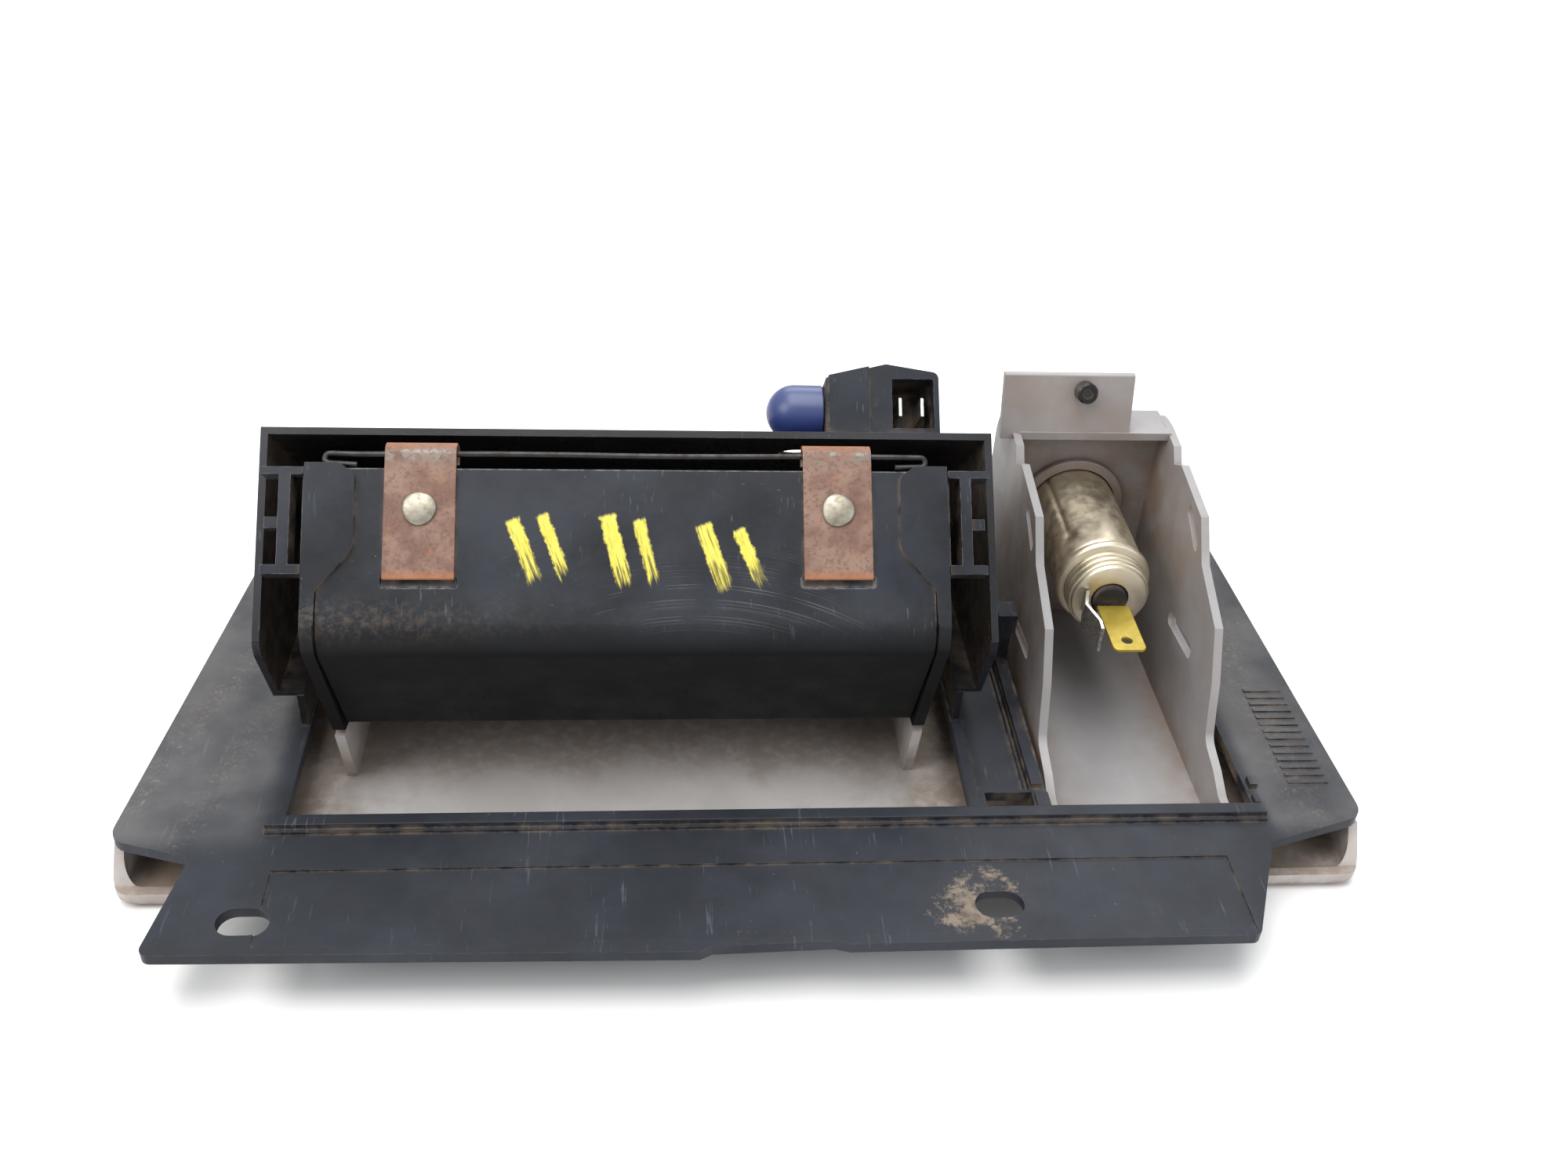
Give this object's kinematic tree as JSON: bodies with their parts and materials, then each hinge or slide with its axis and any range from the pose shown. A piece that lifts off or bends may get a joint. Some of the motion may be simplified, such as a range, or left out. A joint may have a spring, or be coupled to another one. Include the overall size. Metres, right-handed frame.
{
  "type": "dashboard ashtray and lighter unit",
  "caption": "Tilt-out dashboard ashtray with a lighter socket: slotted frame plate, housing, lamp, and a hinged front panel carrying the ash bucket and lighter.",
  "frame": {"origin": "middle of the unit's width and depth, on the front panel's outer face, which it lies on", "axes": "+X along the panel, from the bucket to the lighter; +Y from the hinge edge to the panel's free edge; +Z out of the back, away from the front face"},
  "size_m": [0.2739, 0.1662, 0.0873],
  "materials": {
    "slate_plastic": "moulded, dusty",
    "hood_black": "semi-gloss, edges worn bright",
    "bucket_grey": "semi-gloss with arc scuffs",
    "panel_grey": "fine matt, brown dust in corners",
    "cap_blue": "translucent, dusty",
    "bulb_glass": "clear",
    "clip_steel": "rusted, bright on the roll",
    "rivet_zinc": "dull yellow zinc",
    "wire_steel": "dark drawn wire",
    "pin_steel": "plain",
    "lighter_metal": "yellow zinc, light tarnish",
    "blade_brass": "passivated yellow",
    "blade_silver": "tinned",
    "insulator_black": "matt",
    "knob_black": "fine grained",
    "element_metal": "heat-darkened"
  },
  "bodies": {
    "frame": {"frame_plate": "slate_plastic", "hood": "hood_black", "lamp_holder": "hood_black", "lamp_cap": "cap_blue", "lamp_bulb": "bulb_glass", "lamp_contact_near": "blade_silver", "lamp_contact_far": "blade_silver", "hinge_pin_left": "pin_steel", "hinge_pin_middle": "pin_steel", "hinge_pin_right": "pin_steel"},
    "flap": {"front_panel": "panel_grey", "lighter_bracket": "panel_grey", "bracket_peg": "hood_black", "bucket_shell": "bucket_grey", "end_plate_left": "bucket_grey", "end_plate_right": "bucket_grey", "guide_block_left": "bucket_grey", "guide_block_right": "bucket_grey", "spring_clip_left": "clip_steel", "spring_clip_right": "clip_steel", "rivet_left": "rivet_zinc", "rivet_right": "rivet_zinc", "retaining_wire": "wire_steel", "snuffer_plate": "rivet_zinc", "lighter_socket": "lighter_metal", "socket_collar": "insulator_black", "socket_insulator": "insulator_black", "centre_blade": "blade_brass", "ground_blade": "blade_silver", "bimetal_clip": "blade_brass"},
    "plug_barrel": {"plug_sleeve": "lighter_metal", "plug_spring": "pin_steel"},
    "plug_core": {"plug_knob": "knob_black", "heating_element": "element_metal"}
  },
  "joints": [
    {"name": "flap_tilt", "type": "hinge", "parent": "frame", "child": "flap", "pos_m": [0, -0.0439, 0.0093], "axis": [-1, 0, 0], "range_deg": [0, 45]},
    {"name": "plug_pull", "type": "slide", "parent": "flap", "child": "plug_barrel", "axis": [0, 1, 0], "range_m": [0, 0.034]},
    {"name": "knob_push", "type": "slide", "parent": "plug_barrel", "child": "plug_core", "axis": [0, -1, 0], "range_m": [0, 0.0035], "stiffness_N_per_m": 400, "deforming": ["plug_spring"]}
  ]
}
